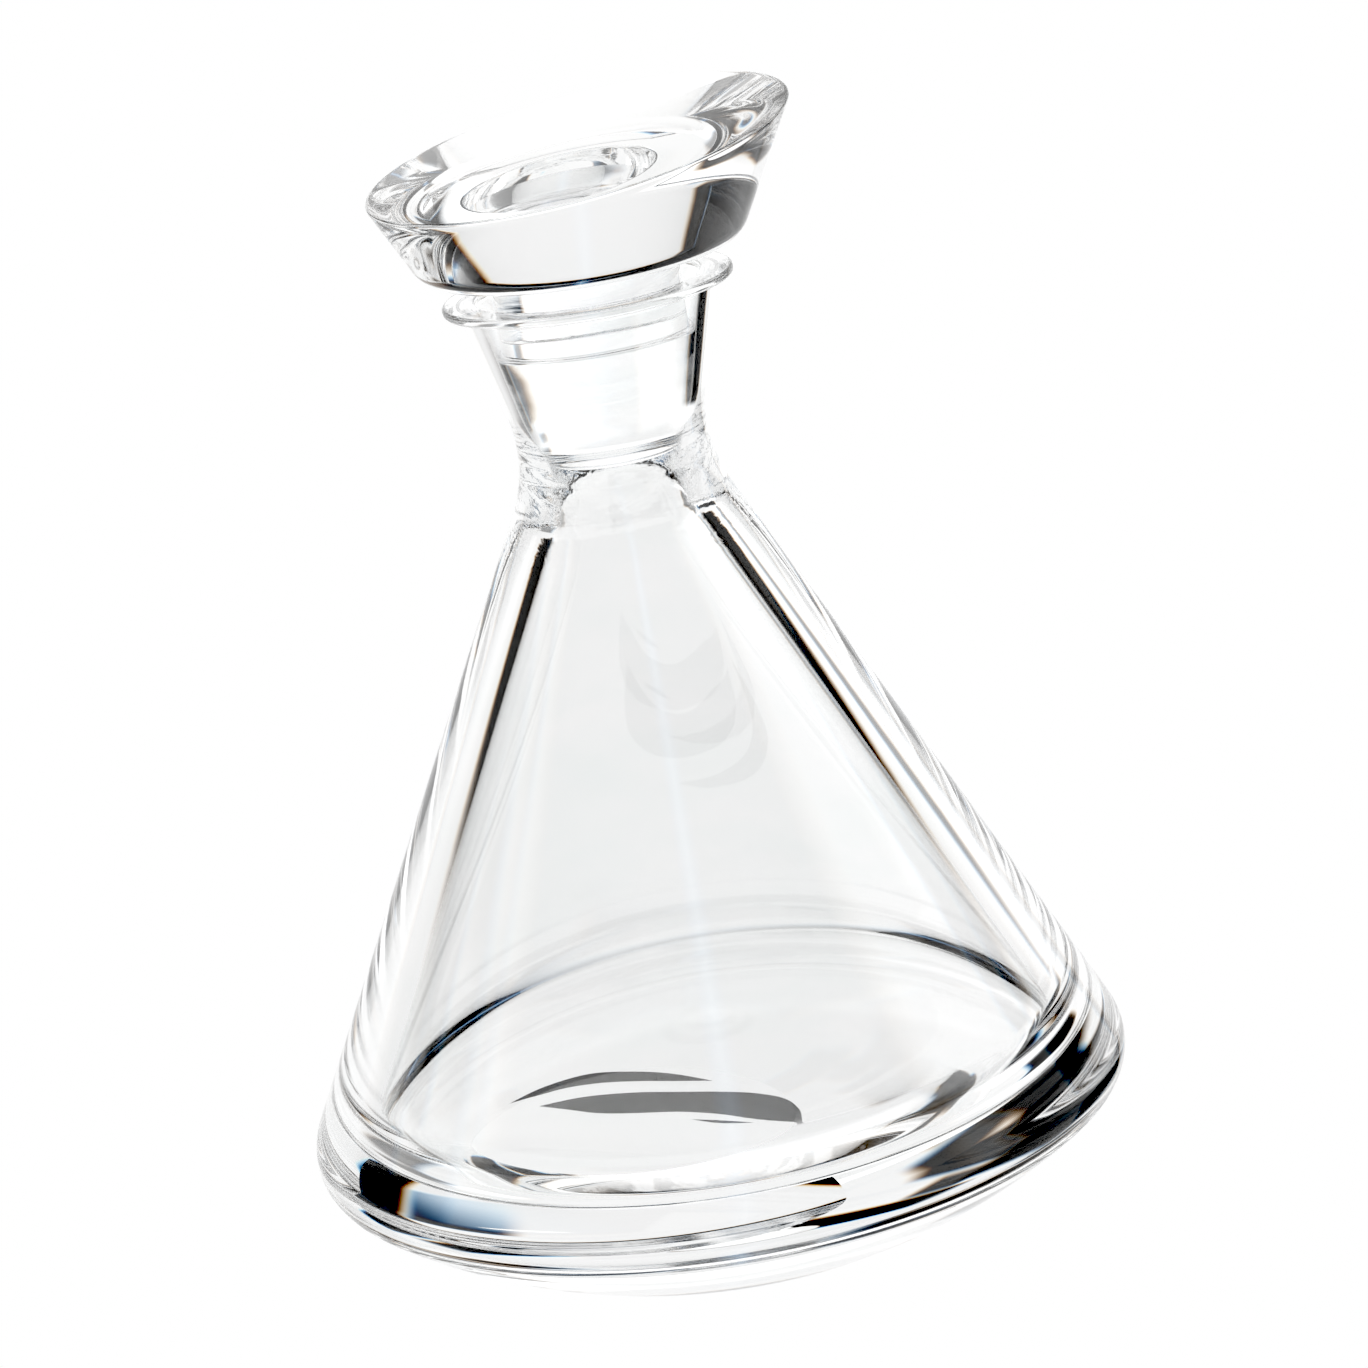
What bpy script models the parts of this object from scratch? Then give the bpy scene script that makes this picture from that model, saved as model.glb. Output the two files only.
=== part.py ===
"""Leaning crystal decanter with a lift-out stopper, in metres, +Z up.

The vessel and the stopper are both turned shapes about one axis. The vessel stands on a flat
ground into one side of its domed base, so the axis leans to -X. The flat's centre is the origin.
"""

import math

import bpy
from mathutils import Matrix, Vector

MM = 0.001

# Stance
LEAN = math.radians(8.93)  # neck axis from the vertical, towards -X
DOME_R = 136.0  # radius of the domed underside
FACET_R = 36.0  # radius of the ground flat it stands on

# Vessel, outside: radii from the axis and heights above the foot of the dome
RIM_TOP = 213.95
FLANGE_R = 30.3
FLANGE_T = 1.8
NECK_TOP_R = 26.8
WAIST = (17.9, 178.2, 32.0)  # where the neck's taper meets the cone: radius, height, rounding
CONE_C = 107.2  # the cone's radius is CONE_C - CONE_SLOPE * height
CONE_SLOPE = 0.5037
GIRTH_R = 87.9  # widest radius, low on the body
GIRTH_ROUND = 10.0  # rounding from the cone into the girth

# Vessel, inside
FLOOR_H = 36.0
WELL_R = 71.3
WELL_TOP = 47.5
FLOOR_ROUND = 6.0
WELL_ROUND = 13.0
THROAT_R = 14.8
THROAT_LOW = 164.2
THROAT_HIGH = 174.6
SEAT_SLOPE = 0.22  # radius gained per height in the tapered bore that holds the plug

# Stopper
PLUG_LOW = 177.8
PLUG_HIGH = 203.6
PLUG_GAP = 0.3
STEM_R = 19.5
HEAD_LOW = 218.7
HEAD_LOW_R = 32.85
HEAD_SLOPE = 0.5137
HEAD_ROUND = 8.0
HEAD_BLANK = 254.0  # height of the head before its top is cut off aslant
CUT_H = 241.8  # height of the slanted cut where it crosses the axis
CUT_TILT = math.radians(7.3)
CUT_TURN = math.radians(37.0)  # the slope's low side, turned about the axis from -X towards -Y

SEGMENTS = 48
ARC_STEP = math.radians(14.0)
DOME_STEP = math.radians(4.0)

CENTRE = Vector((0, 0, math.sqrt(DOME_R**2 - FACET_R**2)))  # middle of the dome's sphere, in mm
STANCE = (
    Matrix.Translation(CENTRE * MM)
    @ Matrix.Rotation(-LEAN, 4, "Y")
    @ Matrix.Translation(Vector((0, 0, -DOME_R)) * MM)
)


def clear():
    for obj in list(bpy.data.objects):
        bpy.data.objects.remove(obj, do_unlink=True)


def arc(centre, radius, start, end, step=ARC_STEP):
    """Points (r, h) on a circle, angles from the outward direction towards the top."""
    count = max(2, math.ceil(abs(end - start) / step) + 1)
    angles = [start + (end - start) * i / (count - 1) for i in range(count)]
    return [
        (centre[0] + radius * math.cos(a), centre[1] + radius * math.sin(a)) for a in angles
    ]


def rounded(corners):
    """A profile through corners (r, h, rounding), each corner replaced by a tangent arc."""
    points = []
    for i, corner in enumerate(corners):
        here, rounding = Vector(corner[:2]), corner[2]
        if rounding == 0:
            points.append(tuple(here))
            continue
        back = (Vector(corners[i - 1][:2]) - here).normalized()
        ahead = (Vector(corners[i + 1][:2]) - here).normalized()
        half = back.angle(ahead) / 2
        centre = here + (back + ahead).normalized() * (rounding / math.sin(half))
        start, end = (here + way * (rounding / math.tan(half)) - centre for way in (back, ahead))
        first = math.atan2(start.y, start.x)
        turn = (math.atan2(end.y, end.x) - first + math.pi) % (2 * math.pi) - math.pi
        points += arc(centre, rounding, first, first + turn)
    return points


def bore_r(height):
    return THROAT_R + SEAT_SLOPE * (height - THROAT_HIGH)


def vessel_profile():
    """From the middle of the inside floor, up the inside, over the rim and down to the foot."""
    girth_corner = (CONE_C - GIRTH_R) / CONE_SLOPE
    girth_h = girth_corner - GIRTH_ROUND * math.tan(math.atan(CONE_SLOPE) / 2)
    rise = DOME_R - girth_h
    edge = (DOME_R**2 - rise**2 - GIRTH_R**2) / (2 * (DOME_R - GIRTH_R))
    edge_end = -math.atan2(rise, GIRTH_R - edge)
    points = [(0, FLOOR_H)] + rounded(
        [
            (0, FLOOR_H, 0),
            (WELL_R, FLOOR_H, FLOOR_ROUND),
            (WELL_R, WELL_TOP, WELL_ROUND),
            (THROAT_R, THROAT_LOW, 10.0),
            (THROAT_R, THROAT_HIGH, 6.0),
            (bore_r(RIM_TOP), RIM_TOP, 0.7),
            (FLANGE_R, RIM_TOP, 0.8),
            (FLANGE_R, RIM_TOP - FLANGE_T, 0.8),
            (NECK_TOP_R, RIM_TOP - FLANGE_T - 0.4, 1.2),
            WAIST,
            (GIRTH_R, girth_corner, GIRTH_ROUND),
            (GIRTH_R, girth_h - 1, 0),
        ]
    )[1:-1]
    points += arc((GIRTH_R - edge, girth_h), edge, 0, edge_end)[1:]
    dome = arc((0, DOME_R), DOME_R, edge_end, -math.pi / 2, DOME_STEP)
    return points + dome[1:-1] + [(0, 0)]


def stopper_profile():
    """From the middle of the uncut top, out and down the head, stem and plug to its foot."""
    blank_r = HEAD_LOW_R + HEAD_SLOPE * (HEAD_BLANK - HEAD_LOW)
    return rounded(
        [
            (0, HEAD_BLANK, 0),
            (blank_r, HEAD_BLANK, 0),
            (HEAD_LOW_R, HEAD_LOW, HEAD_ROUND),
            (STEM_R, HEAD_LOW, 1.0),
            (STEM_R, PLUG_HIGH, 0.6),
            (bore_r(PLUG_HIGH) - PLUG_GAP, PLUG_HIGH, 0.6),
            (bore_r(PLUG_LOW) - PLUG_GAP, PLUG_LOW, 2.5),
            (0, PLUG_LOW, 0),
        ]
    )


def material(name, colour, roughness):
    made = bpy.data.materials.new(name)
    made.use_nodes = True
    shader = made.node_tree.nodes["Principled BSDF"]
    shader.inputs["Base Color"].default_value = (*colour, 1)
    shader.inputs["Roughness"].default_value = roughness
    shader.inputs["IOR"].default_value = 1.54
    shader.inputs["Transmission Weight"].default_value = 1
    made.diffuse_color = (*colour, 1)
    return made


def add(name, mesh):
    obj = bpy.data.objects.new(name, mesh)
    bpy.context.scene.collection.objects.link(obj)
    return obj


def turned(name, profile, look):
    """An object turned from a profile about the shared axis, leaning as it stands."""
    mesh = bpy.data.meshes.new(name)
    points = [(r * MM, 0, h * MM) for r, h in profile]
    mesh.from_pydata(points, [(i, i + 1) for i in range(len(points) - 1)], [])
    obj = add(name, mesh)
    obj.matrix_world = STANCE
    screw = obj.modifiers.new("turn", "SCREW")
    screw.steps = screw.render_steps = SEGMENTS
    screw.use_merge_vertices = True
    screw.merge_threshold = 0.00001
    screw.use_smooth_shade = True
    mesh.materials.append(look)
    return obj


def cut(obj, cutter, name):
    boolean = obj.modifiers.new(name, "BOOLEAN")
    boolean.operation = "DIFFERENCE"
    boolean.solver = "EXACT"
    boolean.object = cutter
    cutter.hide_render = True
    cutter.display_type = "WIRE"


def block(name, size):
    """A box standing on its own origin, size in mm."""
    x, y, z = (s * MM for s in size)
    corners = [(i * x / 2, j * y / 2, k * z) for k in (0, 1) for j in (-1, 1) for i in (-1, 1)]
    faces = [(0, 2, 3, 1), (4, 5, 7, 6), (0, 1, 5, 4), (2, 6, 7, 3), (0, 4, 6, 2), (1, 3, 7, 5)]
    mesh = bpy.data.meshes.new(name)
    mesh.from_pydata(corners, [], faces)
    return add(name, mesh)


clear()

vessel = turned("decanter_body", vessel_profile(), material("body_crystal", (0.93, 0.95, 0.95), 0.02))
grinding = block("facet_cutter", (120, 120, 40))
grinding.matrix_world = Matrix.Translation(Vector((0, 0, -40)) * MM)
cut(vessel, grinding, "ground flat")

stopper = turned("stopper", stopper_profile(), material("stopper_crystal", (0.95, 0.96, 0.96), 0.02))
saw = block("top_cutter", (160, 160, 40))
saw.matrix_world = (
    STANCE
    @ Matrix.Translation(Vector((0, 0, CUT_H)) * MM)
    @ Matrix.Rotation(CUT_TURN, 4, "Z")
    @ Matrix.Rotation(-CUT_TILT, 4, "Y")
)
cut(stopper, saw, "slanted top")
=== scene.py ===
# %% [markdown]
# # A leaning crystal decanter
# A decanter of clear crystal in two pieces: a heavy vessel that leans on a flat ground into its
# domed base, and a solid stopper with a slanted top. Both were turned, so both are modelled as a
# wood turner or a glass cutter would: draw half of the outline, spin it round the axis, then
# grind the flats.
#
# ## The frame
# The imported CAD model is loaded first. It says where each piece stands and what moves, so every
# new piece is made in the same place and in metres. The box of each of its pieces is printed.

# %% Load the frame
import math

import bpy
from mathutils import Matrix, Vector


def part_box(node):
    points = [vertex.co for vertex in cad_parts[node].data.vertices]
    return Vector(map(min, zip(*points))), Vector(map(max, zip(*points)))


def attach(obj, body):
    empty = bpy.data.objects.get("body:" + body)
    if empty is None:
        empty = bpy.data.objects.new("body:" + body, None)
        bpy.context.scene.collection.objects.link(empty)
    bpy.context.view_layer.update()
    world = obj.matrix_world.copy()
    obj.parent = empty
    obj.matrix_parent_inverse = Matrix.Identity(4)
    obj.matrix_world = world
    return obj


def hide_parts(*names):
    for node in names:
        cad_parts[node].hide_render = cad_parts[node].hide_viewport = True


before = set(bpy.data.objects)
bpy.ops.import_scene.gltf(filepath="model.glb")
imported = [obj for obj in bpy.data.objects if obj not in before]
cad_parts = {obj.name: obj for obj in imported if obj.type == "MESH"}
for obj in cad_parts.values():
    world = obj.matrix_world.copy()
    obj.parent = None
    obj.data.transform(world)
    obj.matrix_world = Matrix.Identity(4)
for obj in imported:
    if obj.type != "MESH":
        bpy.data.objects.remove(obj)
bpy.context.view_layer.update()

MM = 0.001
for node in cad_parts:
    low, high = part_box(node)
    low, high = ([round(c / MM, 1) for c in corner] for corner in (low, high))
    print(node, "from", low, "to", high, "mm")

# %% [markdown]
# ## How the decanter stands
# The neck's axis leans towards -X. The underside is part of a ball, and the decanter stands on a
# flat ground into that ball, so the ball's middle is right above the middle of the flat. A piece
# is first made upright, with its axis on Z and the foot of the dome at zero. Then one matrix
# stands it up as the CAD does.

# %% Stance
LEAN = math.radians(8.93)
DOME_R = 136.0
FACET_R = 36.0
BALL_H = math.sqrt(DOME_R**2 - FACET_R**2)
STANCE = (
    Matrix.Translation((0, 0, BALL_H * MM))
    @ Matrix.Rotation(-LEAN, 4, "Y")
    @ Matrix.Translation((0, 0, -DOME_R * MM))
)
print(f"the middle of the ball is {BALL_H:.1f} mm up")

# %% [markdown]
# ## Drawing an outline
# A turned piece is known by half of its outline: pairs of a radius and a height. It is easiest
# to give it by its corners, each with a rounding, because that is how a maker's drawing gives
# it. The helper below swaps each corner for a true arc. Straight runs are split as well, because
# a long face next to an arc takes some of the arc's shading, and in clear glass that bends
# everything seen through it.

# %% Rounded outlines
FINEST_STEP = math.radians(6)
ARC_RUN = 1.6
STRAIGHT_RUN = 4.0


def arc(centre, radius, start, end):
    """Points of a circle, from one angle to another, close enough to look round."""
    turn = abs(end - start)
    count = max(2, math.ceil(turn / FINEST_STEP), math.ceil(turn * radius / ARC_RUN))
    angles = [start + (end - start) * i / count for i in range(count + 1)]
    return [(centre[0] + radius * math.cos(a), centre[1] + radius * math.sin(a)) for a in angles]


def rounded(corners):
    """An outline through corners of radius, height and rounding, each turned into an arc."""
    points = []
    for i, corner in enumerate(corners):
        here, rounding = Vector(corner[:2]), corner[2]
        if rounding == 0:
            points.append(tuple(here))
            continue
        back = (Vector(corners[i - 1][:2]) - here).normalized()
        ahead = (Vector(corners[i + 1][:2]) - here).normalized()
        half = back.angle(ahead) / 2
        centre = here + (back + ahead).normalized() * (rounding / math.sin(half))
        start, end = (here + way * (rounding / math.tan(half)) - centre for way in (back, ahead))
        first = math.atan2(start.y, start.x)
        turn = (math.atan2(end.y, end.x) - first + math.pi) % (2 * math.pi) - math.pi
        points += arc(centre, rounding, first, first + turn)
    return points


def split_straights(points):
    """The same outline with its long runs split."""
    out = [points[0]]
    for (r0, h0), (r1, h1) in zip(points, points[1:]):
        count = max(1, math.ceil(math.hypot(r1 - r0, h1 - h0) / STRAIGHT_RUN))
        for i in range(1, count + 1):
            out.append((r0 + (r1 - r0) * i / count, h0 + (h1 - h0) * i / count))
    return out


# %% [markdown]
# ## Turning
# A Screw modifier could turn the outline, and so could a lathe of rings extruded one by one. The
# Spin tool is the closest to real turning. A tiny plane is merged to one point, that point is
# extruded along the outline, and Spin carries the line once round Z. The points on the axis are
# then made one, and the normals are recalculated, because a full turn may come out inside out.

# %% Turning helpers
TURN_STEPS = 192
WELD = 1e-6


def deselect_all():
    if bpy.context.object and bpy.context.object.mode != "OBJECT":
        bpy.ops.object.mode_set(mode="OBJECT")
    bpy.ops.object.select_all(action="DESELECT")


def edit(piece):
    deselect_all()
    piece.select_set(True)
    bpy.context.view_layer.objects.active = piece
    bpy.ops.object.mode_set(mode="EDIT")


def turned(name, outline):
    """A closed piece turned from an outline, upright on Z."""
    deselect_all()
    (r, h), rest = outline[0], outline[1:]
    bpy.ops.mesh.primitive_plane_add(size=MM, location=(r * MM, 0, h * MM))
    piece = bpy.context.object
    piece.name = piece.data.name = name
    bpy.ops.object.mode_set(mode="EDIT")
    bpy.ops.mesh.select_mode(type="VERT")
    bpy.ops.mesh.select_all(action="SELECT")
    bpy.ops.mesh.merge(type="CENTER")
    for r1, h1 in rest:
        step = ((r1 - r) * MM, 0, (h1 - h) * MM)
        bpy.ops.mesh.extrude_region_move(TRANSFORM_OT_translate={"value": step})
        r, h = r1, h1
    bpy.ops.mesh.select_all(action="SELECT")
    bpy.ops.mesh.spin(steps=TURN_STEPS, angle=2 * math.pi, center=(0, 0, 0), axis=(0, 0, 1))
    bpy.ops.mesh.select_all(action="SELECT")
    bpy.ops.mesh.remove_doubles(threshold=WELD)
    bpy.ops.mesh.normals_make_consistent(inside=False)
    bpy.ops.object.mode_set(mode="OBJECT")
    return piece


def stand(piece):
    """Puts an upright piece where the CAD has it, with its place in its mesh."""
    deselect_all()
    piece.select_set(True)
    bpy.context.view_layer.objects.active = piece
    piece.matrix_world = STANCE @ piece.matrix_world
    bpy.ops.object.transform_apply(location=True, rotation=True, scale=True)


def measure(piece):
    corners = [Vector(v.co) for v in piece.data.vertices]
    low = [round(min(c[i] for c in corners) / MM, 1) for i in range(3)]
    high = [round(max(c[i] for c in corners) / MM, 1) for i in range(3)]
    print(f"{piece.name}: {len(piece.data.polygons)} faces, from {low} to {high} mm")


# %% [markdown]
# ## The vessel
# The vessel is one lump of crystal, and its inside matters as much as its outside, because both
# are seen at once. So the outline runs from the middle of the inside floor, up the inside wall,
# through the throat and the tapered seat, over the rim, down the outside and under the dome to
# the axis. The piece is then a closed solid of glass with a true cavity, and light bends in it
# as in the real one.

# %% The vessel's outline
RIM_TOP = 213.95
FLANGE_R = 30.3
FLANGE_T = 1.8
CONE_C, CONE_SLOPE = 107.2, 0.5037
GIRTH_R, GIRTH_ROUND = 87.9, 10.0
FLOOR_H = 36.0
WELL_R, WELL_TOP, WELL_ROUND, FLOOR_ROUND = 71.3, 47.5, 13.0, 6.0
THROAT_R, THROAT_LOW, THROAT_HIGH = 14.8, 164.2, 174.6
SEAT_SLOPE = 0.22
NECK_TOP = (26.8, RIM_TOP - FLANGE_T - 0.4, 1.2)  # radius, height and rounding, under the flange
WAIST = (17.9, 178.2, 32.0)


def seat_r(height):
    return THROAT_R + SEAT_SLOPE * (height - THROAT_HIGH)


def vessel_outline():
    girth_corner = (CONE_C - GIRTH_R) / CONE_SLOPE
    girth_h = girth_corner - GIRTH_ROUND * math.tan(math.atan(CONE_SLOPE) / 2)
    rise = DOME_R - girth_h
    edge = (DOME_R**2 - rise**2 - GIRTH_R**2) / (2 * (DOME_R - GIRTH_R))
    edge_end = -math.atan2(rise, GIRTH_R - edge)
    walls = rounded([
        (0, FLOOR_H, 0),
        (WELL_R, FLOOR_H, FLOOR_ROUND),
        (WELL_R, WELL_TOP, WELL_ROUND),
        (THROAT_R, THROAT_LOW, 10.0),
        (THROAT_R, THROAT_HIGH, 6.0),
        (seat_r(RIM_TOP), RIM_TOP, 0.7),
        (FLANGE_R, RIM_TOP, 0.8),
        (FLANGE_R, RIM_TOP - FLANGE_T, 0.8),
        NECK_TOP,
        WAIST,
        (GIRTH_R, girth_corner, GIRTH_ROUND),
        (GIRTH_R, girth_h - 1, 0),
    ])[:-1]
    edge_arc = arc((GIRTH_R - edge, girth_h), edge, 0, edge_end)[1:]
    dome = arc((0, DOME_R), DOME_R, edge_end, -math.pi / 2)[1:]
    dome[-1] = (0, 0)
    return split_straights(walls + edge_arc + dome)


vessel = turned("crystal_vessel", vessel_outline())
stand(vessel)
measure(vessel)

# %% [markdown]
# ## Grinding the flat
# On the real object a grinding wheel takes a slice off the dome, so that the decanter stands
# still. The Bisect tool does the same: it cuts the mesh on a plane, throws away what is below,
# and fills the cut with one face.

# %% Ground flat
edit(vessel)
bpy.ops.mesh.select_all(action="SELECT")
bpy.ops.mesh.bisect(
    plane_co=(0, 0, 0), plane_no=(0, 0, 1), threshold=WELD, use_fill=True, clear_inner=True
)
bpy.ops.object.mode_set(mode="OBJECT")
measure(vessel)

# %% [markdown]
# ## The stopper
# The stopper is solid: a tapered plug, a straight stem and a flared head. Its outline runs from
# the middle of an uncut top down to the foot of the plug. The head is left too tall, so that its
# top can be sawn off aslant afterwards.

# %% The stopper
PLUG_LOW, PLUG_HIGH, PLUG_GAP = 177.8, 203.6, 0.3
PLUG_ROUND = 2.5
STEM_R, STEM_ROUND = 19.5, 1.0
HEAD_LOW, HEAD_LOW_R, HEAD_SLOPE, HEAD_ROUND = 218.7, 32.85, 0.5137, 8.0
HEAD_BLANK = 254.0
CUT_H, CUT_TILT, CUT_TURN = 241.8, math.radians(7.3), math.radians(37)


def stopper_outline():
    blank_r = HEAD_LOW_R + HEAD_SLOPE * (HEAD_BLANK - HEAD_LOW)
    below = split_straights(rounded([
        (blank_r, HEAD_BLANK, 0),
        (HEAD_LOW_R, HEAD_LOW, HEAD_ROUND),
        (STEM_R, HEAD_LOW, STEM_ROUND),
        (STEM_R, PLUG_HIGH, 0.6),
        (seat_r(PLUG_HIGH) - PLUG_GAP, PLUG_HIGH, 0.6),
        (seat_r(PLUG_LOW) - PLUG_GAP, PLUG_LOW, PLUG_ROUND),
        (0, PLUG_LOW, 0),
    ])[1:])
    return [(0, HEAD_BLANK), (blank_r, HEAD_BLANK)] + below


stopper = turned("crystal_stopper", stopper_outline())
stand(stopper)
measure(stopper)

# %% [markdown]
# ## Sawing the top aslant
# A cutter saws the top off on a slant, grinds it flat and takes the sharp edge off, because a
# sharp edge of crystal chips. Bisect is the saw, on a plane that is turned a little round the
# axis from the way the neck leans. Bevel rounds the new edge. Two more cuts just below, which
# remove nothing, give the bevel an even ring of faces to end on, so the shading next to it stays
# smooth.

# %% Slanted top
cut_frame = (
    STANCE
    @ Matrix.Translation((0, 0, CUT_H * MM))
    @ Matrix.Rotation(CUT_TURN, 4, "Z")
    @ Matrix.Rotation(-CUT_TILT, 4, "Y")
)
cut_at, cut_up = cut_frame.translation, cut_frame.to_3x3() @ Vector((0, 0, 1))
TOP_BEVEL = 0.9
SUPPORT_DEPTHS = (2.0, 4.5)


def cut_across(depth, **how):
    bpy.ops.mesh.select_all(action="SELECT")
    on_plane = cut_at - cut_up * depth * MM
    bpy.ops.mesh.bisect(plane_co=on_plane, plane_no=cut_up, threshold=WELD, **how)


edit(stopper)
cut_across(0, use_fill=True, clear_outer=True)
bpy.ops.object.mode_set(mode="OBJECT")
for face in stopper.data.polygons:
    face.select = face.normal.dot(cut_up) > 0.999 and (face.center - cut_at).dot(cut_up) > -1e-5
bpy.ops.object.mode_set(mode="EDIT")
bpy.ops.mesh.select_mode(type="FACE")
bpy.ops.mesh.region_to_loop()
bpy.ops.mesh.bevel(offset=TOP_BEVEL * MM, segments=5, affect="EDGES")
bpy.ops.mesh.select_mode(type="VERT")
for depth in SUPPORT_DEPTHS:
    cut_across(depth)
bpy.ops.object.mode_set(mode="OBJECT")
measure(stopper)

# %% [markdown]
# ## Smooth faces, sharp cuts
# Clear glass shows every facet twice, once on the way in and once on the way out. A Subdivision
# Surface would round the ground edges off, so the outline already has enough points, and the
# faces are only shaded smooth. Shading by angle keeps the few true edges: the rim of the ground
# flat and the sawn top.

# %% Smooth shading
for piece, sharp in ((vessel, 10), (stopper, 35)):
    deselect_all()
    piece.select_set(True)
    bpy.context.view_layer.objects.active = piece
    bpy.ops.object.shade_smooth_by_angle(angle=math.radians(sharp))
    print(piece.name, "is smooth up to", sharp, "degrees")

# %% [markdown]
# ## Writing shader maths as sums
# The finishes are patterns of numbers, and a chain of Math nodes is hard to read. So a small
# class wraps a node's output, and its plus, minus, times and divide add the nodes. `1 - mask`
# works too, because each operator has its reflected form. Every other node comes from one method,
# which takes the node's type, its settings and the values or links of its sockets.

# %% Shader helpers
class Value:
    """A node's output that can be added to, subtracted from, multiplied and divided."""

    def __init__(self, look, socket):
        self.look, self.socket = look, socket

    def maths(self, operation, first, second):
        return self.look.node("ShaderNodeMath", {"operation": operation}, {0: first, 1: second})

    def __add__(self, other):
        return self.maths("ADD", self, other)

    def __sub__(self, other):
        return self.maths("SUBTRACT", self, other)

    def __mul__(self, other):
        return self.maths("MULTIPLY", self, other)

    def __truediv__(self, other):
        return self.maths("DIVIDE", self, other)

    def __radd__(self, other):
        return self.maths("ADD", other, self)

    def __rsub__(self, other):
        return self.maths("SUBTRACT", other, self)

    def __rmul__(self, other):
        return self.maths("MULTIPLY", other, self)

    def __rtruediv__(self, other):
        return self.maths("DIVIDE", other, self)

    def between(self, low, high):
        """0 below low, 1 above high, and a smooth step from one to the other."""
        sockets = {"Value": self, "From Min": low, "From Max": high}
        return self.look.node("ShaderNodeMapRange", {"interpolation_type": "SMOOTHSTEP"}, sockets)


class Look:
    """The node tree of one finish."""

    def __init__(self, tree):
        self.tree = tree

    def node(self, kind, settings=None, sockets=None, output=0):
        """Adds a node: its settings first, then its sockets, and gives back one output."""
        made = self.tree.nodes.new(kind)
        for name, setting in (settings or {}).items():
            setattr(made, name, setting)
        for name, given in (sockets or {}).items():
            if isinstance(given, Value):
                self.tree.links.new(given.socket, made.inputs[name])
            else:
                made.inputs[name].default_value = given
        return Value(self, made.outputs[output]) if made.outputs else None

    def feed(self, node, **links):
        """Links values into the sockets of a node that is already there."""
        for name, given in links.items():
            self.tree.links.new(given.socket, node.inputs[name.replace("_", " ")])


# %% [markdown]
# ## The finish of the crystal
# Lead crystal is a little denser than window glass, with an index near 1.54. It is clear, so one
# Principled BSDF with full transmission does most of the work, and what makes it look blown and
# not machined is small. Glass gathered on an iron keeps faint cords, streaks of a slightly
# different melt that run round the axis. The tool that draws in the waist leaves ripples there.
# The cut faces are polished, but never quite as clear as fire-polished glass.
#
# A Glass BSDF would give the same light, but the Principled one also exports. The streaks could
# be a volume, which is slow and noisy. A bump of about a hundredth of a millimetre bends the
# light as they do. All patterns are read on Object coordinates, turned upright with Mapping
# nodes, so they follow the axis that the piece was turned on.

# %% Crystal helpers
def mapped(look, place, **how):
    """A place that is moved, turned or stretched."""
    return look.node("ShaderNodeMapping", {}, {"Vector": place, **how})


def upright(look):
    """The place on the piece in metres, with the neck's axis on Z and the dome's foot at zero."""
    place = look.node("ShaderNodeTexCoord", output="Object")
    from_ball = mapped(look, place, Location=(0, 0, -BALL_H * MM))
    turned_up = mapped(look, from_ball, Rotation=(0, LEAN, 0))
    return mapped(look, turned_up, Location=(0, 0, DOME_R * MM))


def streaks(look, place, stretch, scale, twist=0.6):
    """Soft wavy noise, drawn out along the turning."""
    drawn = mapped(look, place, Scale=(1, 1, stretch))
    sockets = {"Vector": drawn, "Scale": scale, "Detail": 2, "Roughness": 0.5, "Distortion": twist}
    return look.node("ShaderNodeTexNoise", {}, sockets)


def height_of(look, place):
    """How high a place is, in mm."""
    return look.node("ShaderNodeSeparateXYZ", {}, {0: place}, output="Z") / MM


# %% [markdown]
# ## One crystal for both pieces
# Both pieces are of the same crystal, so one function makes it. They differ only in the height
# of their ripples and in where they are cut.

# %% The crystal
CRYSTAL_IOR = 1.54
CLEAR, COOL = (1.0, 1.0, 1.0, 1), (0.972, 0.984, 0.982, 1)
CORD_DEPTH, RIPPLE_DEPTH = 0.012, 0.05  # in mm
CUT_HAZE = 0.02  # roughness of a polished cut where it is least clear


def crystal(name, ripple_at, ripple_reach, cut_mask):
    """Clear crystal with cords, with ripples about one height, and with its cut faces marked."""
    made = bpy.data.materials.new(name)
    made.use_nodes = True
    shader = made.node_tree.nodes["Principled BSDF"]
    shader.inputs["IOR"].default_value = CRYSTAL_IOR
    shader.inputs["Transmission Weight"].default_value = 1
    look = Look(made.node_tree)
    place = upright(look)

    cords = streaks(look, place, stretch=2.2, scale=26)
    from_ripple = {0: height_of(look, place) - ripple_at}
    away = look.node("ShaderNodeMath", {"operation": "ABSOLUTE"}, from_ripple)
    near_ripple = 1 - away.between(0.25 * ripple_reach, ripple_reach)
    ripples = streaks(look, place, stretch=1.6, scale=150, twist=1.4) * near_ripple
    wear = streaks(look, place, stretch=1, scale=900)

    colours = {"Factor": cords.between(0.35, 0.75), 6: CLEAR, 7: COOL}
    relief = {"Distance": MM, "Height": cords * CORD_DEPTH + ripples * RIPPLE_DEPTH}
    look.feed(
        shader,
        Base_Color=look.node("ShaderNodeMix", {"data_type": "RGBA"}, colours, output=2),
        Roughness=cut_mask(look) * (wear * CUT_HAZE),
        Normal=look.node("ShaderNodeBump", {}, relief),
    )
    print(name, "has", len(made.node_tree.nodes), "nodes")
    return made


# %% [markdown]
# ## Two pieces, two finishes
# The vessel's cut face is the ground flat that it stands on, so its mask is a thin layer above
# the table. The stopper's cut face is the slanted top, so its mask starts a little under the
# plane of the saw cut. Each piece then takes a crystal named for its entry in the record's
# materials, the CAD node that it replaces is hidden, and the piece is hung on the body it moves
# with.

# %% Crystal on the pieces
def ground_flat(look):
    place = look.node("ShaderNodeTexCoord", output="Object")
    return 1 - height_of(look, place).between(0.05, 0.1)


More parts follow.
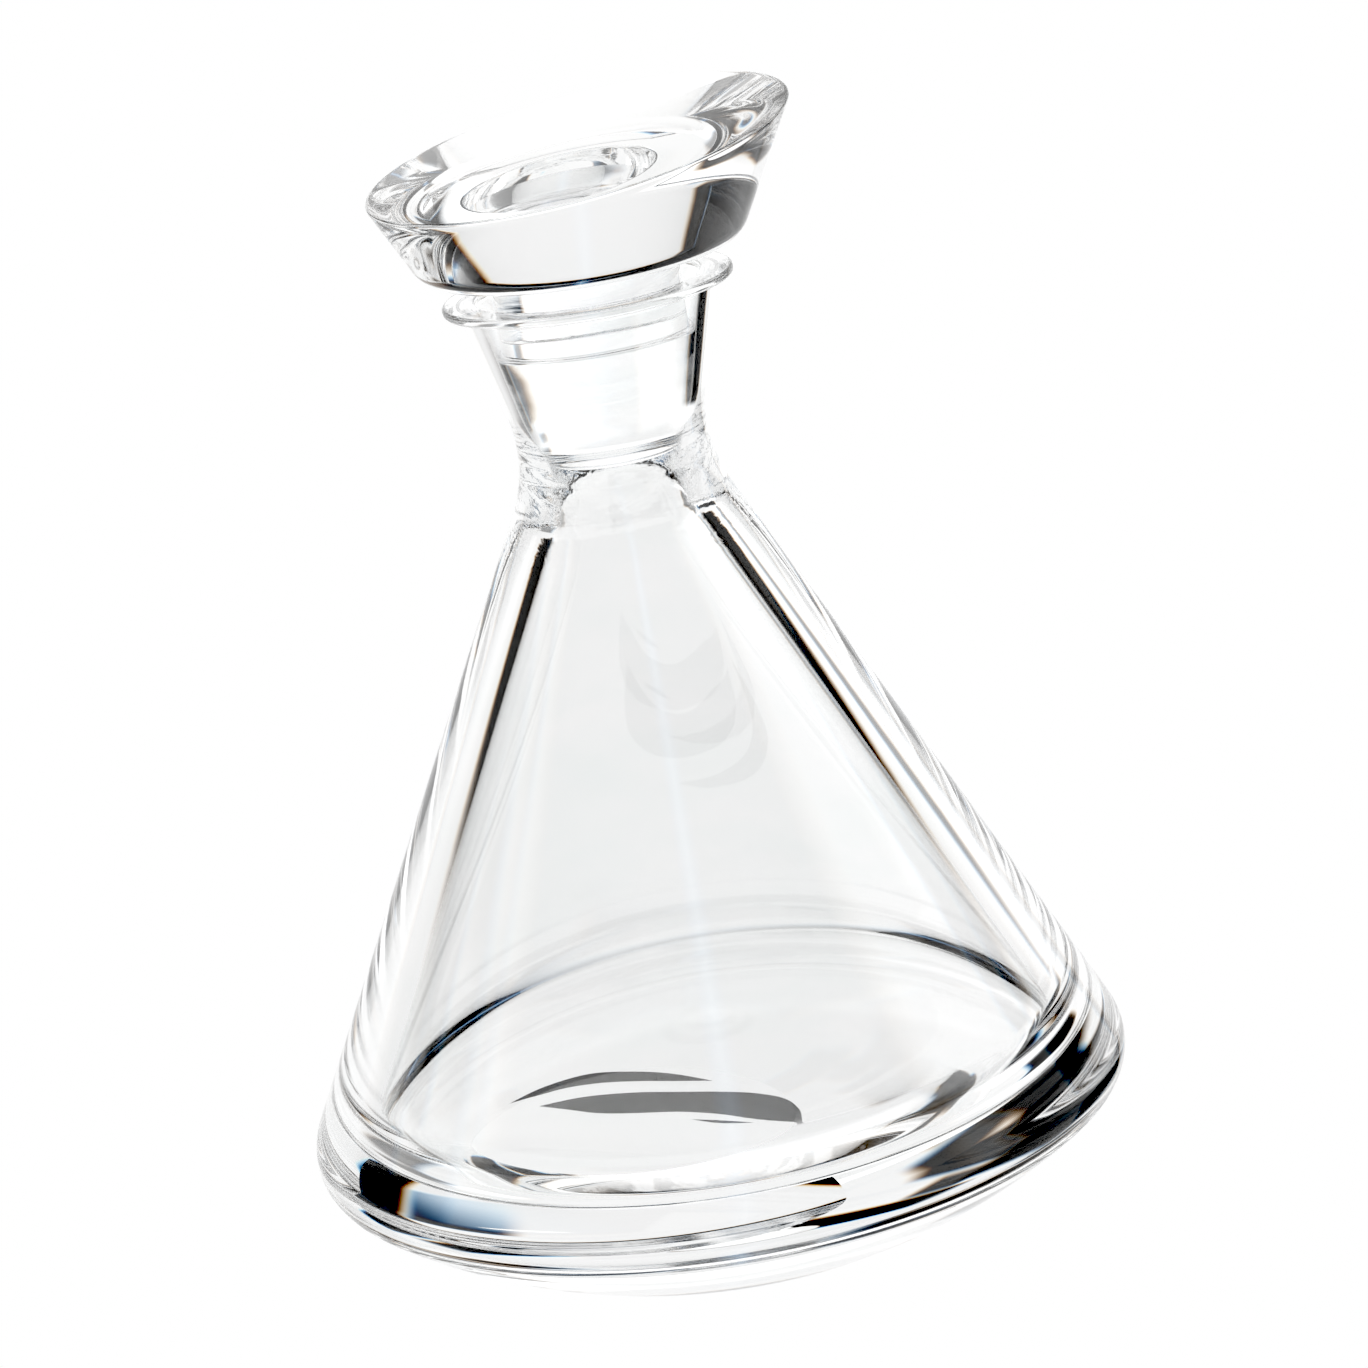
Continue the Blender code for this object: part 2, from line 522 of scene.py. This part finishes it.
def sawn_top(look):
    place = look.node("ShaderNodeTexCoord", output="Object")
    minus_cut = {0: place, 1: tuple(cut_at)}
    from_cut = look.node("ShaderNodeVectorMath", {"operation": "SUBTRACT"}, minus_cut)
    along_up = {0: from_cut, 1: tuple(cut_up)}
    dot = {"operation": "DOT_PRODUCT"}
    above = look.node("ShaderNodeVectorMath", dot, along_up, output="Value")
    return (above / MM).between(-0.1, -0.05)


for piece, node, body, slot, ripple_at, ripple_reach, cut_mask in (
    (vessel, "decanter_body", "vessel", "body_crystal", 168.0, 14.0, ground_flat),
    (stopper, "stopper", "plug", "stopper_crystal", 211.0, 5.0, sawn_top),
):
    piece.data.materials.clear()
    piece.data.materials.append(crystal(slot, ripple_at, ripple_reach, cut_mask))
    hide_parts(node)
    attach(piece, body)

# %% [markdown]
# ## Light for glass
# Glass has no colour of its own to light. What is seen is the room, bent. In a studio it stands
# in front of a bright white backdrop, so that it is clear, with black flags just outside the
# view, so that its edges are drawn as dark lines. Lamps could do the white, but a flag is the
# lack of light, so the whole tent is painted on the world: white all round, with soft-edged
# cards given by compass direction and height in degrees. Straight behind the decanter is north,
# 0 degrees. Darkness 1 is a black flag, and a darkness below 0 is a white card that adds light.
# No real studio was measured: where the cards stand is an estimate, moved by trial until the
# lines in the glass fell about where they should.
#
# Dense crystal bends blue light a little more than red, which gives each dark line a warm and a
# cool side. The renderer bends all colours alike, so the directions are spread instead: red
# reads the tent a shade nearer to the view's middle, and blue a shade further out.

# %% Cards of the tent
WHITE = 0.98
SPREAD = 0.007  # how much further out blue reads the tent than green does
VIEW_DOWN = 16.3  # how far the camera looks down, in degrees
CARDS = (  # west edge, east edge, low edge, high edge, softness sideways and upright, darkness
    (-95, -50, 2, 34, 3, 3, 1.0),
    (-54, -40, 24, 38, 2, 3, 0.9),
    (-52, -33, 12, 22, 2, 2, 0.9),
    (-72, -49, -5, 5, 2, 2, 0.95),
    (-66, -34, -46, -24, 4, 4, 0.6),
    (31, 64, -20, -5, 2, 2, 1.0),
    (30, 35, -2, 4, 1.5, 1.5, 0.6),
    (41, 66, 8.5, 36, 1.5, 1.5, 1.0),
    (23, 40, 13, 20, 2, 1.5, 0.9),
    (-62, 60, 38.5, 52, 5, 1.5, 1.0),
    (-180, -102, 4, 62, 6, 5, 1.0),
    (112, 181, 6, 62, 6, 5, 1.0),
    (-180, -140, -40, -22, 6, 4, 0.9),
    (128, 181, -42, -22, 6, 4, 0.9),
    (-40, 40, -10, 16, 8, 5, -0.25),
    (24, 80, -38, -22, 5, 3, -0.35),
    (-80, -48, -62, -46, 6, 4, -0.35),
)

print(len(CARDS), "cards")

# %% [markdown]
# ## Painting the tent
# The three colours' directions are carried together as a vector, so each card takes only four
# smooth steps, two sideways and two upright. Where the tent is seen with no glass in between, it
# is plain white.

# %% Studio world
DEGREES = 180 / math.pi

world = bpy.data.worlds.new("studio")
bpy.context.scene.world = world
world.use_nodes = True
tent = Look(world.node_tree)
world.node_tree.nodes.clear()


def spread(angle, middle):
    """One angle as three, for red, green and blue."""
    off = angle - middle
    colours = {0: off * (1 - SPREAD) + middle, 1: angle, 2: off * (1 + SPREAD) + middle}
    return tent.node("ShaderNodeCombineXYZ", {}, colours)


def past(angles, edge, soft):
    """0 before the edge and 1 after it, for each of the three colours."""
    settings = {"data_type": "FLOAT_VECTOR", "interpolation_type": "SMOOTHSTEP"}
    low, high = (edge - soft,) * 3, (edge + soft,) * 3
    sockets = {6: angles, 7: low, 8: high, 9: (0, 0, 0), 10: (1, 1, 1)}
    return tent.node("ShaderNodeMapRange", settings, sockets, output=1)


def vectors(operation, first, second):
    return tent.node("ShaderNodeVectorMath", {"operation": operation}, {0: first, 1: second})


direction = tent.node("ShaderNodeTexCoord", output="Generated")
across, along, up = (
    tent.node("ShaderNodeSeparateXYZ", {}, {0: direction}, output=axis) for axis in ("X", "Y", "Z")
)
compass = tent.node("ShaderNodeMath", {"operation": "ARCTAN2"}, {0: across, 1: along})
height = tent.node("ShaderNodeMath", {"operation": "ARCSINE"}, {0: up})
compasses = spread(compass * DEGREES, 0)
heights = spread(height * DEGREES, -VIEW_DOWN)

light = (WHITE,) * 3
for west, east, low, high, side_soft, up_soft, dark in CARDS:
    within = vectors(
        "MULTIPLY",
        vectors("SUBTRACT", past(compasses, west, side_soft), past(compasses, east, side_soft)),
        vectors("SUBTRACT", past(heights, low, up_soft), past(heights, high, up_soft)),
    )
    kept = vectors("SUBTRACT", (1, 1, 1), vectors("MULTIPLY", within, (dark,) * 3))
    light = vectors("MULTIPLY", light, kept)

seen_directly = tent.node("ShaderNodeLightPath", output="Is Camera Ray")
either = {"Factor": seen_directly, 4: light, 5: (1, 1, 1)}
backdrop = tent.node("ShaderNodeMix", {"data_type": "VECTOR"}, either, output=1)
glow = tent.node("ShaderNodeBackground", {}, {"Color": backdrop})
tent.node("ShaderNodeOutputWorld", {}, {"Surface": glow})
print("the tent has", len(world.node_tree.nodes), "nodes")

# %% [markdown]
# ## The table
# The decanter stands on a plain white table that is as bright as the backdrop, so the two meet
# with no line. It glows by itself, which leaves no shadow, and it lies a hair under the ground
# flat. Rays that have been through glass pass through it and read the lower half of the tent.

# %% Table
TABLE_WIDTH = 6  # in metres
TABLE_DROP = 0.2  # in mm


def glowing(name, colour, strength):
    """A finish that gives its own even light and takes no shadow."""
    made = bpy.data.materials.new(name)
    made.use_nodes = True
    made.node_tree.nodes.clear()
    look = Look(made.node_tree)
    light = look.node("ShaderNodeEmission", {}, {"Color": (*colour, 1), "Strength": strength})
    look.node("ShaderNodeOutputMaterial", {}, {"Surface": light})
    return made


deselect_all()
bpy.ops.mesh.primitive_plane_add(size=TABLE_WIDTH, location=(0, 0, -TABLE_DROP * MM))
table = bpy.context.object
table.name = "table"
table.data.materials.append(glowing("white_paper", (1, 1, 1), 1))
table.visible_transmission = table.visible_glossy = table.visible_shadow = False
print("the table's top is", TABLE_DROP, "mm under the flat")

# %% [markdown]
# ## Painted shade under the flat
# From above, through the base, two dark crescents and a sliver show inside the flat. What makes
# them on the real decanter isn't known, and nothing in the glass or the tent here does. So these
# are stand-ins, dark shapes drawn on the table just under the flat, so that they show
# where they should from the front. From other sides they show as well, and there they are a
# guess. Each is traced in the same point-and-extrude way as the outlines and filled, and only
# rays that come out of glass see it. They are part of the stage and not of the decanter.

# %% Shade under the flat
def traced(name, outline, height):
    """A flat filled shape from points in mm, lying at a height."""
    deselect_all()
    (x, y), rest = outline[0], outline[1:]
    bpy.ops.mesh.primitive_plane_add(size=MM, location=(x * MM, y * MM, height * MM))
    shape = bpy.context.object
    shape.name = shape.data.name = name
    bpy.ops.object.mode_set(mode="EDIT")
    bpy.ops.mesh.select_mode(type="VERT")
    bpy.ops.mesh.select_all(action="SELECT")
    bpy.ops.mesh.merge(type="CENTER")
    for x1, y1 in rest:
        step = ((x1 - x) * MM, (y1 - y) * MM, 0)
        bpy.ops.mesh.extrude_region_move(TRANSFORM_OT_translate={"value": step})
        x, y = x1, y1
    bpy.ops.mesh.select_all(action="SELECT")
    bpy.ops.mesh.edge_face_add()
    bpy.ops.object.mode_set(mode="OBJECT")
    return shape


def flowing(corners, steps=8):
    """Points of a smooth closed line through the corners, sharp where a corner is given twice."""
    out = []
    for i in range(len(corners)):
        before, start, end, after = (Vector(corners[(i + k) % len(corners)]) for k in (-1, 0, 1, 2))
        if start == end:
            continue
        for j in range(steps):
            t = j / steps
            square = 2 * before - 5 * start + 4 * end - after
            cube = 3 * start - before - 3 * end + after
            out.append(tuple(start + (end - before) * t / 2 + square * t**2 / 2 + cube * t**3 / 2))
    return out


SHADES = (
    ("far_shade", (
        (-29, 25), (-29, 25), (-22, 32), (-12, 37), (-3, 36), (5, 33.5), (12, 29.5),
        (18, 25), (18, 25), (10, 27), (0, 29.5), (-8, 30.7), (-16, 30), (-24, 27),
    )),
    ("near_shade", (
        (-22, 21), (-22, 21), (-12, 23.4), (0, 22.8), (10, 20.5), (20, 18), (28, 15), (34, 10.5),
        (37, 3), (37, -5), (37, -5), (30, -1.5), (20, 5), (10, 9), (0, 10.8), (-8, 13), (-15, 17),
    )),
    ("sliver_shade", ((13, 4), (13, 4), (20, 1.5), (27, -2), (27, -2), (20, -0.2))),
)

# The shapes are painted shade: black sheets that give no light, lying under the flat so that the
# glass shows dark there.
painted_shade = glowing("shade", (0, 0, 0), 0)
for name, outline in SHADES:
    shape = traced(name, flowing(outline), -TABLE_DROP / 2)
    shape.data.materials.append(painted_shade)
    shape.visible_camera = shape.visible_glossy = shape.visible_shadow = False
    print(name, "has", len(shape.data.polygons), "face of", len(shape.data.vertices), "points")

# %% [markdown]
# ## The camera
# A long lens from a metre away, looking down a little, keeps the neck and the base in true
# proportion. Its angle is the one that shows the lean best, square on to it.

# %% Camera
camera = bpy.data.objects.new("camera", bpy.data.cameras.new("camera"))
bpy.context.scene.collection.objects.link(camera)
camera.location = (0.00791, -0.96991, 0.40595)
camera.rotation_euler = (math.radians(90 - VIEW_DOWN), 0, 0)
camera.data.lens = 126.3
camera.data.sensor_width = 36
bpy.context.scene.camera = camera
print("the camera looks down", VIEW_DOWN, "degrees")

# %% [markdown]
# ## How far light is followed
# A ray through this crystal meets the outside, the inside, the plug and the floor of the well,
# and bounces between them. With few bounces the thick parts go black where they should be
# bright, so the limits are raised. The Standard view leaves white as white. Every face of glass
# also mirrors a little of the white tent over the darks, so the view's black point is raised a
# little, and the darks come out deep again.

# %% Light paths and view
MOST_BOUNCES = 32
VIEW_BLACK = 0.09
scene = bpy.context.scene
for kind in ("max_bounces", "transmission_bounces", "glossy_bounces"):
    setattr(scene.cycles, kind, MOST_BOUNCES)
scene.view_settings.view_transform = "Standard"
scene.view_settings.use_curve_mapping = True
scene.view_settings.curve_mapping.black_level = (VIEW_BLACK,) * 3
scene.view_settings.curve_mapping.update()
print("light is followed for", MOST_BOUNCES, "bounces")
